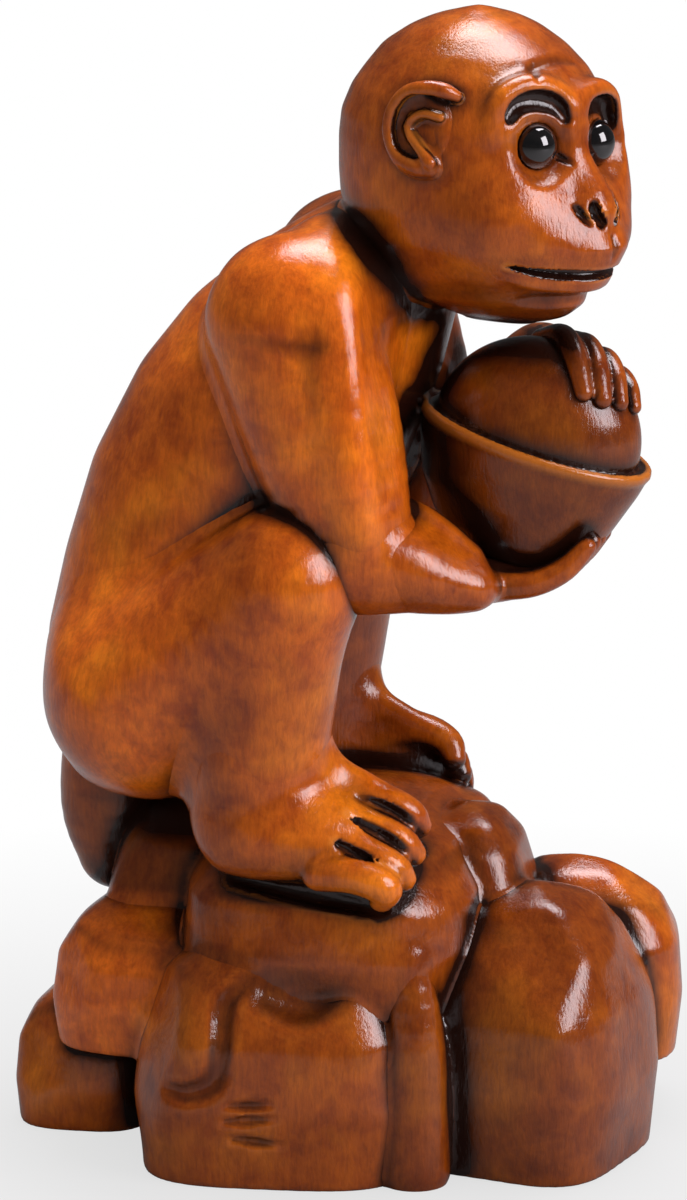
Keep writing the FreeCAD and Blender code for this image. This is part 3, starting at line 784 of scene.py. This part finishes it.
# the facets of each rock; azimuth 180 faces the monkey's right, the camera's side, and 270 its front
rock_facets = {
    "right_boulder": [
        ((-18.6, 6.0, 18.0), 165, 42), ((-17.6, -5.0, 18.2), 205, 40), ((-21.0, 9.8, 9.0), 128, 14),
        ((-17.6, 0.4, 21.6), 180, 64)],
    "front_boulder": [
        ((-11.6, -17.2, 18.6), 196, 40), ((-9.0, -24.0, 19.6), 250, 44), ((-4.8, -27.0, 16.4), 276, 24),
        ((-11.0, -25.6, 12.0), 232, 16)],
    "left_boulder": [
        ((19.0, 4.0, 16.0), 10, 38), ((16.0, -8.0, 15.0), 320, 34), ((14.0, 12.4, 15.0), 60, 36)],
    "front_left_boulder": [((8.0, -24.6, 20.4), 262, 50), ((14.0, -20.0, 20.0), 350, 48)],
    "rear_low_boulder": [((-7.0, 26.0, 9.6), 120, 40), ((-9.6, 23.4, 5.0), 150, 18)],
    "rear_left_boulder": [((15.0, 22.0, 14.6), 50, 42), ((4.0, 24.0, 13.8), 110, 44)],
    "rear_boulder": [
        ((-13.2, 13.0, 19.0), 175, 55), ((-13.6, 19.4, 14.6), 140, 12), ((-6.0, 20.6, 20.8), 96, 44)],
    "ledge_rock": [
        ((-17.0, -2.0, 24.6), 183, 12), ((-15.0, -10.6, 24.6), 236, 26), ((16.8, -2.0, 25.0), 0, 14)],
    "toe_rock": [((-4.6, -14.0, 27.2), 222, 34), ((1.8, -16.8, 26.2), 276, 30)],
    "seat_rock": [((-8.6, 13.6, 24.4), 172, 22), ((-4.0, 19.0, 25.6), 112, 34)],
}
# grooves, scoops and knife marks: points, radii, blend
rock_cuts = {
    "right_boulder": [
        ([(-19.5, 3.0, 18.6), (-19.8, 4.4, 17.2), (-20.3, 5.0, 15.8), (-21.2, 5.0, 12.8),
          (-21.5, 5.6, 9.8), (-21.5, 7.8, 8.6), (-21.5, 9.6, 8.8)],
         [0.3, 0.6, 0.7, 0.7, 0.7, 0.6, 0.3], 1.0),
        ([(-21.5, 4.3, 7.7), (-21.3, 2.4, 7.8), (-21.1, 0.6, 8.0)], [0.2, 0.4, 0.2], 0.3),
        ([(-21.6, 4.8, 6.3), (-21.4, 2.6, 6.5), (-21.1, 0.2, 6.8)], [0.2, 0.45, 0.2], 0.3),
        ([(-21.4, 4.2, 4.8), (-21.2, 2.0, 4.6), (-20.9, -0.4, 4.4)], [0.2, 0.4, 0.2], 0.3),
        ([(-19.4, 1.2, 17.6), (-19.5, -1.8, 17.2), (-18.6, -4.6, 18.6)], [0.8, 1.5, 0.8], 2.2),
    ],
    "ledge_rock": [
        ([(-17.6, 4.6, 26.8), (-17.9, -1.6, 26.0), (-17.4, -8.0, 25.0)], [0.5, 0.8, 0.6], 0.6),
    ],
}


# grooves are let in where someone looking this way, from the monkey's right, sees them
glance = np.array([0.937, 0.251, -0.242])
# a boulder's outline is an oval at 2 and squarer above that
SQUARE = 3.4


def rock_steps(name):
    x, y, half_x, half_y, foot, top, turned = rock_shares[name]
    place = world.at((x * BASE_WIDTH, y * BASE_LENGTH, foot * ROCK_HEIGHT), yaw=turned)
    rise, a, b = (top - foot) * ROCK_HEIGHT, half_x * BASE_WIDTH, half_y * BASE_LENGTH
    cuts = [facet(*row) for row in rock_facets.get(name, [])]
    phase = sum(map(ord, name)) % 7

    def boulder(X, Y, Z):
        u, v, w = place.local(X, Y, Z)
        size = eased(boulder_rows, w / rise, 0.05)[0]
        spread = (np.abs(u / (a * size)) ** SQUARE + np.abs(v / (b * size)) ** SQUARE) ** (1 / SQUARE)
        body = soft_max((spread - 1) * min(a, b) * size, w - rise, 1.2)
        for through, way in cuts:
            past = (X - through[0]) * way[0] + (Y - through[1]) * way[1] + (Z - through[2]) * way[2]
            body = soft_max(body, past, 0.7)
        swells = np.sin(X * 0.45 + phase) * np.sin(Y * 0.4 + 2 * phase) * np.sin(Z * 0.5 + phase) * 0.16
        return soft_max(body + swells, -w, 0.3)

    reach = math.hypot(a, b) * 1.02
    low = place.origin - np.array([reach, reach, 0])
    high = place.origin + np.array([reach, reach, rise])
    steps = Steps().add(Shell(boulder, low, high))
    find = skin_finder(steps, low - 1, high + 1)
    if name == "front_boulder":
        wedge = [(-14.4, -10.4, 1.5), (-14.4, -10.4, 12.0), (-14.2, -9.8, 20.0)]
        steps.add(Tube(world, wedge, [3.2, 2.8, 1.6]), 0.8)
        steps.cut(Egg(world.at((-15.3, -17.2, 22.0)), (4.0, 5.2, 4.2)), 1.2)
    for points, radii, blend in rock_cuts.get(name, []):
        points = [find(np.array(p) - glance * 14, glance) for p in points]
        steps.cut(Tube(world, points, radii), blend)
    return steps


def all_steps():
    steps = {"torso": torso_steps(), "ingot": ingot_steps(), "head": head_steps()}
    makers = {"ear": ear_steps, "thigh": thigh_steps, "shin": shin_steps, "foot": foot_steps,
              "upper_arm": upper_arm_steps, "forearm": forearm_steps}
    for side_name, side in sides.items():
        for part, make in makers.items():
            steps[f"{side_name}_{part}"] = make(side)
        steps[f"{side_name}_hand"] = cupping_hand() if side < 0 else laid_hand()
    steps["tail"] = tail_steps()
    for name in rock_shares:
        steps[name] = rock_steps(name)
    return steps


# how fine each piece is, in millimetres
usual_step = 0.3
fineness = {"head": 0.22, "right_ear": 0.16, "left_ear": 0.2, "right_hand": 0.2, "left_hand": 0.2,
            "ingot": 0.26, "torso": 0.36}

# how softly a piece runs into the earlier ones, and the piece it runs into where that is one alone
softness = {"right_hand": 3.0, "tail": 1.2, "head": 1.0}
soft_with = {"tail": "torso", "head": "torso"}
# part of a limb, its blend, and the piece it runs into
soft_parts = (("ear", 0.6, "head"), ("upper_arm", 1.4, "torso"), ("thigh", 1.6, "torso"),
              ("shin", 2.4, "{}_thigh"), ("foot", 2.6, "{}_shin"), ("forearm", 1.6, "{}_upper_arm"),
              ("hand", 2.0, "{}_forearm"))
# an arm or thigh runs more softly at its root: axis, where that starts, where it is full, blend there
soft_ends = {}
for side_name in sides:
    soft_ends[f"{side_name}_upper_arm"] = (2, 65.0, 80.0, 4.8)
    soft_ends[f"{side_name}_thigh"] = (1, 12.0, 22.0, 4.0)
    for part, blend, root in soft_parts:
        softness.setdefault(f"{side_name}_{part}", blend)
        soft_with[f"{side_name}_{part}"] = root.format(side_name)

# the grid that the recesses are read from, and how far round each form it is filled
COARSE, AROUND = 0.8, 7
# no blend reaches out further than this share of itself
BLEND_CAP = 0.85
# towards the end of its blend a piece sinks by this much, so that it dips under its neighbour
SINK = 0.09


def box_of(steps):
    low = np.min([form.low for cutting, form, _ in steps if not cutting], axis=0)
    high = np.max([form.high for cutting, form, _ in steps if not cutting], axis=0)
    return low, high


def coarse_clay(steps):
    """All the pieces in one coarse block."""
    whole = Clay((-27, -34, -3), (27, 34, 104), COARSE)
    for rows in steps.values():
        low, high = box_of(rows)
        alone = Clay(low - AROUND, high + AROUND, COARSE)
        alone.low = np.round((alone.low - whole.low) / COARSE) * COARSE + whole.low
        counts = alone.field.shape
        alone.axes = [(alone.low[i] + COARSE * np.arange(counts[i])).astype(np.float32) for i in range(3)]
        alone.follow(rows, AROUND)
        start = np.round((alone.low - whole.low) / COARSE).astype(int)
        a = np.maximum(start, 0)
        b = np.minimum(start + counts, whole.field.shape)
        into = tuple(slice(i, j) for i, j in zip(a, b))
        source = tuple(slice(i - s, j - s) for i, j, s in zip(a, b, start))
        whole.field[into] = np.minimum(whole.field[into], alone.field[source])
    return whole


def blend_of(name, clay):
    """How softly the piece blends, which may change along one axis."""
    usual = softness.get(name, 0.5)
    if name not in soft_ends:
        return usual
    axis, start, end, most = soft_ends[name]
    place = clay.axes[axis].reshape([-1 if i == axis else 1 for i in range(3)])
    t = np.clip((place - start) / (end - start), 0, 1)
    return usual + (most - usual) * t * t * (3 - 2 * t)


def sculpt(name, steps):
    """The piece's own clay, drawn out to meet its neighbours."""
    step = fineness.get(name, usual_step)
    low, high = box_of(steps[name])
    reach = soft_ends[name][3] if name in soft_ends else softness.get(name, 0.5)
    block = (low - reach * BLEND_CAP - 1, high + reach * BLEND_CAP + 1, step)
    clay = Clay(*block)
    clay.follow(steps[name], reach + 3)
    names = list(steps)
    rest = np.full(clay.field.shape, FAR, np.float32)
    for other_name in [soft_with[name]] if name in soft_with else names[:names.index(name)]:
        other_low, other_high = box_of(steps[other_name])
        if np.all(other_low - reach < high) and np.all(other_high + reach > low):
            other = Clay(*block)
            other.follow(steps[other_name], reach + 3)
            rest = np.minimum(rest, other.field)
    own, soft = clay.field, blend_of(name, clay)
    joined = soft_min(own, rest, soft) + SINK * np.clip((own / soft - 0.4) / 0.3, 0, 1)
    clay.field = np.maximum(joined, own - soft * BLEND_CAP)
    return clay


# how far out a recess is looked for, and how far in and out a bend is felt for
LOOK_OUT = (1.0, 2.0, 3.6, 5.5)
BEND_REACH = 0.45


def marks(points, quads, clay, whole):
    """How deep in a recess and how sharp an edge each vertex is."""
    corners = points[quads]
    normal = np.cross(corners[:, 2] - corners[:, 0], corners[:, 3] - corners[:, 1])
    ends = quads.ravel()
    total = np.stack([np.bincount(ends, weights=np.repeat(normal[:, i], 4), minlength=len(points))
                      for i in range(3)], 1)
    total /= np.maximum(np.linalg.norm(total, axis=1), 1e-9)[:, None]
    recess = np.zeros(len(points))
    for reach in LOOK_OUT:
        free = whole.sample(points + total * reach)
        recess += np.clip(1 - free / reach, 0, 1.6) / len(LOOK_OUT)
    inner = clay.sample(points - total * BEND_REACH)
    outer = clay.sample(points + total * BEND_REACH)
    bend = (inner + outer) / BEND_REACH
    return np.clip(recess, 0, 1), np.clip(bend, -1, 1)


# how light each piece is painted, and how softly that passes from piece to piece: painted light and shade,
# lighter on the near pieces that the lamps light and darker on the far, shaded ones, partly the wood's own
# tone
lights_and_tones = {"torso": 1.55, "right_upper_arm": 1.65, "left_upper_arm": 0.6, "right_forearm": 1.0,
         "right_thigh": 1.85, "right_shin": 0.9, "right_foot": 1.35, "left_shin": 0.45, "left_thigh": 0.5,
         "left_foot": 0.6, "left_hand": 0.8, "tail": 0.6, "ingot": 0.38, "ledge_rock": 0.75,
         "seat_rock": 0.4, "rear_boulder": 1.8, "right_boulder": 0.75, "front_boulder": 0.5,
         "front_left_boulder": 0.9, "rear_low_boulder": 0.8, "rear_left_boulder": 0.6, "toe_rock": 0.45}
LIGHT_AND_TONE_SPREAD = 0.9


# painted light and shade by piece, passing softly between neighbouring pieces
def tone_at(points, clays):
    total, weights = np.zeros(len(points)), np.zeros(len(points))
    for name, clay in clays.items():
        near = np.exp(-np.clip(clay.sample(points), 0, 8) / LIGHT_AND_TONE_SPREAD)
        total += near * lights_and_tones.get(name, 1.0)
        weights += near
    return total / np.maximum(weights, 1e-6)


# looks

def nodes_of(name):
    material = bpy.data.materials.new(name)
    material.use_nodes = True
    tree = material.node_tree
    return material, tree, tree.nodes["Principled BSDF"]


def feed(tree, made, inputs):
    """A node's inputs: a socket is linked to it, and anything else is set."""
    for key, value in inputs.items():
        if isinstance(value, bpy.types.NodeSocket):
            tree.links.new(value, made.inputs[key])
        else:
            made.inputs[key].default_value = value
    return made


def node(tree, kind, inputs=None, **settings):
    made = tree.nodes.new(kind)
    for key, value in settings.items():
        setattr(made, key, value)
    return feed(tree, made, inputs or {})


def noise(tree, where, scale, detail, roughness, distortion=0.0):
    inputs = {"Vector": where, "Scale": scale, "Detail": detail, "Roughness": roughness,
              "Distortion": distortion}
    return node(tree, "ShaderNodeTexNoise", inputs).outputs[0]


def ramp(tree, factor, stops):
    made = node(tree, "ShaderNodeValToRGB", {"Fac": factor})
    elements = made.color_ramp.elements
    while len(elements) < len(stops):
        elements.new(0.5)
    for element, (place, colour) in zip(elements, stops):
        element.position = place
        element.color = (*colour, 1)
    return made.outputs[0]


def mix(tree, factor, a, b, kind="MIX"):
    a, b = [(*value, 1) if isinstance(value, tuple) else value for value in (a, b)]
    settings = {"data_type": "RGBA", "blend_type": kind, "clamp_result": kind == "MULTIPLY"}
    return node(tree, "ShaderNodeMix", {0: factor, 6: a, 7: b}, **settings).outputs[2]


def maths(tree, kind, a, b):
    return node(tree, "ShaderNodeMath", {0: a, 1: b}, operation=kind).outputs[0]


def times(tree, a, b):
    return maths(tree, "MULTIPLY", a, b)


def mask(tree, value, low, high):
    """Black below low, white above high."""
    return ramp(tree, value, [(low, (0, 0, 0)), (high, (1, 1, 1))])


def grey(tree, value, low, dark, high, light):
    """A grey that goes from dark, where the value is low, to light, where it is high."""
    return ramp(tree, value, [(low, (dark,) * 3), (high, (light,) * 3)])


def bump(tree, height, strength, distance):
    inputs = {"Height": height, "Strength": strength, "Distance": distance}
    return node(tree, "ShaderNodeBump", inputs).outputs[0]


def linear(red, green, blue):
    """A colour given in 0 to 255 as it looks, as the shader wants it."""
    made = []
    for value in (red, green, blue):
        v = value / 255
        made.append(v / 12.92 if v <= 0.04045 else ((v + 0.055) / 1.055) ** 2.4)
    return tuple(made)


def lacquered_wood():
    """Stained wood under a clear glossy lacquer: amber where it was rubbed, nearly black in the recesses,
    which is partly the hollows' own dark stain and partly painted shade.
    """
    material, tree, shader = nodes_of("lacquered_wood")
    where = node(tree, "ShaderNodeTexCoord").outputs["Object"]
    recess, ridge, light_and_tone = [node(tree, "ShaderNodeAttribute", attribute_name=name).outputs["Fac"]
                           for name in ("recess", "ridge", "light_and_tone")]
    along = {"Vector": where, "Scale": (1, 1, 0.22), "Rotation": (0.1, 0.25, 0)}
    stretch = node(tree, "ShaderNodeMapping", along).outputs[0]
    cloud = noise(tree, where, 95, 3, 0.6)
    mottle = noise(tree, where, 420, 4, 0.6, 0.4)
    grain = noise(tree, stretch, 2600, 5, 0.65, 0.3)
    pores = noise(tree, stretch, 5200, 2, 0.5)
    browns = [(0.32, linear(134, 52, 6)), (0.52, linear(178, 80, 8)), (0.72, linear(222, 122, 18))]
    speck = ramp(tree, mottle, [(0.35, linear(116, 44, 6)), (0.6, linear(200, 102, 14))])
    colour = mix(tree, 0.35, ramp(tree, cloud, browns), speck)
    lines = ramp(tree, grain, [(0.3, (0.55, 0.48, 0.42)), (0.6, (1.08, 1.05, 1.0))])
    colour = mix(tree, 0.55, colour, lines, "MULTIPLY")
    # each piece's painted light and shade, partly its own tone
    light_and_tone_colour = node(tree, "ShaderNodeCombineXYZ", {0: light_and_tone, 1: light_and_tone, 2: light_and_tone}).outputs[0]
    colour = mix(tree, 1.0, colour, light_and_tone_colour, "MULTIPLY")
    # painted shade, partly the hollows' own dark stain: the deeper a vertex sits in a recess, also where
    # pieces meet and hide one another, the nearer black it goes
    deep = maths(tree, "ADD", recess, times(tree, maths(tree, "SUBTRACT", cloud, 0.5), 0.35))
    colour = mix(tree, mask(tree, deep, 0.1, 0.5), colour, linear(38, 15, 7))
    raised = mask(tree, ridge, 0.2, 0.75)
    colour = mix(tree, times(tree, raised, 0.6), colour, linear(226, 132, 44))
    # painted shade in the concave creases, partly the creases' own dark stain
    hollow = mask(tree, times(tree, ridge, -1), 0.12, 0.6)
    colour = mix(tree, times(tree, hollow, 0.75), colour, linear(36, 15, 8))
    height = maths(tree, "ADD", times(tree, grain, 0.5), times(tree, pores, 0.25))
    relief = bump(tree, maths(tree, "ADD", height, times(tree, mottle, 0.8)), 0.22, 0.0003)
    feed(tree, shader, {"Base Color": colour, "Roughness": grey(tree, mottle, 0.3, 0.34, 0.7, 0.5),
                        "Normal": relief, "Coat Normal": relief, "Coat Weight": 1.0, "Coat IOR": 1.55,
                        "Coat Roughness": 0.12, "IOR": 1.45, "Specular IOR Level": 0.05})
    return material


def bead_glass():
    """Black glass: a dark body with a faint warm cloud, and a clear polished face."""
    material, tree, shader = nodes_of("bead_glass")
    where = node(tree, "ShaderNodeTexCoord").outputs["Object"]
    cloud = noise(tree, where, 900, 3, 0.5)
    body = ramp(tree, cloud, [(0.35, linear(8, 8, 10)), (0.7, linear(24, 20, 20))])
    smudge = noise(tree, where, 3000, 4, 0.6)
    feed(tree, shader, {"Base Color": body, "Roughness": grey(tree, smudge, 0.3, 0.03, 0.8, 0.09),
                        "Normal": bump(tree, smudge, 0.03, 0.0001), "Coat Weight": 1.0,
                        "Coat Roughness": 0.03, "IOR": 1.6})
    return material


def floor_paint():
    """A white table that stays white to the camera but keeps the shadow on it."""
    material, tree, shader = nodes_of("floor_paint")
    where = node(tree, "ShaderNodeTexCoord").outputs["Object"]
    faint = noise(tree, where, 30, 2, 0.5)
    feed(tree, shader, {"Base Color": grey(tree, faint, 0.3, 0.24, 0.7, 0.26), "Roughness": 0.7,
                        "Specular IOR Level": 0.2})
    spot = node(tree, "ShaderNodeVectorMath", {0: where}, operation="LENGTH").outputs["Value"]
    fade = {"Value": spot, "From Min": 0.02, "From Max": 0.10, "To Min": 0.7, "To Max": 1.0}
    away = node(tree, "ShaderNodeMapRange", fade).outputs[0]
    share = times(tree, away, node(tree, "ShaderNodeLightPath").outputs["Is Camera Ray"])
    glow = node(tree, "ShaderNodeEmission", {"Color": (1, 1, 1, 1), "Strength": 1.0})
    both = node(tree, "ShaderNodeMixShader", {0: share, 1: shader.outputs[0], 2: glow.outputs[0]})
    tree.links.new(both.outputs[0], tree.nodes["Material Output"].inputs["Surface"])
    return material


# the pieces

def into_scene(name, data):
    made = bpy.data.objects.new(name, data)
    scene.collection.objects.link(made)
    return made


def as_object(name, points, quads, marks_of=None):
    mesh = bpy.data.meshes.new(name)
    mesh.vertices.add(len(points))
    mesh.vertices.foreach_set("co", (points * MM).astype(np.float32).ravel())
    mesh.loops.add(quads.size)
    mesh.loops.foreach_set("vertex_index", quads.astype(np.int32).ravel())
    mesh.polygons.add(len(quads))
    mesh.polygons.foreach_set("loop_start", np.arange(0, quads.size, 4, dtype=np.int32))
    mesh.update(calc_edges=True)
    mesh.polygons.foreach_set("use_smooth", np.ones(len(quads), bool))
    for key, values in (marks_of or {}).items():
        layer = mesh.attributes.new(key, "FLOAT", "POINT")
        layer.data.foreach_set("value", values.astype(np.float32))
    return into_scene(name, mesh)


wood = lacquered_wood()
glass = bead_glass()
all_rows = all_steps()
whole_clay = coarse_clay(all_rows)
clays = {node_name: sculpt(node_name, all_rows) for node_name in all_rows}
for node_name, clay in clays.items():
    points, quads = net(clay)
    recess, bend = marks(points, quads, clay, whole_clay)
    # the per-piece brightness here is painted light and shade, and the recess drives painted shade
    marked = {"recess": recess, "ridge": bend, "light_and_tone": tone_at(points, clays)}
    piece = as_object(f"{node_name}_carving", points, quads, marked)
    piece.data.materials.append(wood)
    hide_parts(node_name)
    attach(piece, "root")


def make_eye(side_name):
    """A polished bead, a little taller than wide, in the place of its CAD bead."""
    rings, around = 24, 36
    points, quads = [], []
    for i in range(rings + 1):
        height, across = math.cos(math.pi * i / rings), math.sin(math.pi * i / rings)
        for j in range(around):
            angle = 2 * math.pi * j / around
            points.append((across * math.cos(angle), across * math.sin(angle), height))
            if i < rings:
                here, beside = i * around + j, i * around + (j + 1) % around
                quads.append((here, here + around, beside + around, beside))
    points = np.array(points) * bead_radius * np.array([1, 1, 1.06]) + bead_centres[sides[side_name]]
    made = as_object(f"{side_name}_eye_bead", points, np.array(quads))
    made.data.materials.append(glass)
    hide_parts(f"{side_name}_eye")
    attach(made, "root")


for side_name in sides:
    make_eye(side_name)


# the floor, the lamps and the camera

floor_mesh = bpy.data.meshes.new("floor")
floor_mesh.from_pydata([(-3, -3, 0), (3, -3, 0), (3, 3, 0), (-3, 3, 0)], [], [(0, 1, 2, 3)])
floor = into_scene("floor", floor_mesh)
floor.data.materials.append(floor_paint())


def lamp(name, place, size, power, colour):
    data = bpy.data.lights.new(name, "AREA")
    data.shape = "RECTANGLE"
    data.size, data.size_y = size
    data.energy = power
    data.color = colour
    made = into_scene(name, data)
    made.location = place
    made.rotation_euler = (aim - place).to_track_quat("-Z", "Y").to_euler()


azimuth, elevation, distance = math.radians(75), math.radians(14), 0.607
level = Vector((math.sin(azimuth), math.cos(azimuth), 0))
look = level * math.cos(elevation) - Vector((0, 0, math.sin(elevation)))
aim = Vector((0.0001, -0.0002, 0.0474))
camera_data = bpy.data.cameras.new("camera")
camera_data.lens = 210
camera_data.sensor_width = 36
camera_data.sensor_fit = "AUTO"
camera = into_scene("camera", camera_data)
camera.location = aim - look * distance
camera.rotation_euler = look.to_track_quat("-Z", "Y").to_euler()
scene.camera = camera

right = Vector((math.cos(azimuth), -math.sin(azimuth), 0))
up = Vector((0, 0, 1))


def stand(to_right, height, toward):
    """A place in the studio: to the right of the view, above the table and towards the camera."""
    return aim + right * to_right + up * height - level * toward


lamp("top_softbox", stand(0.08, 0.47, -0.14), (0.34, 0.26), 2.7, (1.0, 0.95, 1.0))
lamp("front_softbox", stand(0.44, 0.26, 0.26), (0.28, 0.34), 2.5, (1.0, 0.94, 0.99))

scene_world = bpy.data.worlds.new("studio")
scene.world = scene_world
scene_world.use_nodes = True
sky = scene_world.node_tree
rays = node(sky, "ShaderNodeLightPath")
seen = maths(sky, "MAXIMUM", rays.outputs["Is Camera Ray"], rays.outputs["Is Transmission Ray"])
soft_light = maths(sky, "ADD", times(sky, rays.outputs["Is Diffuse Ray"], 0.5), 0.06)
strength = maths(sky, "ADD", times(sky, seen, 0.94), soft_light)
feed(sky, sky.nodes["Background"], {"Color": (1, 1, 1, 1), "Strength": strength})

scene.view_settings.view_transform = "Standard"
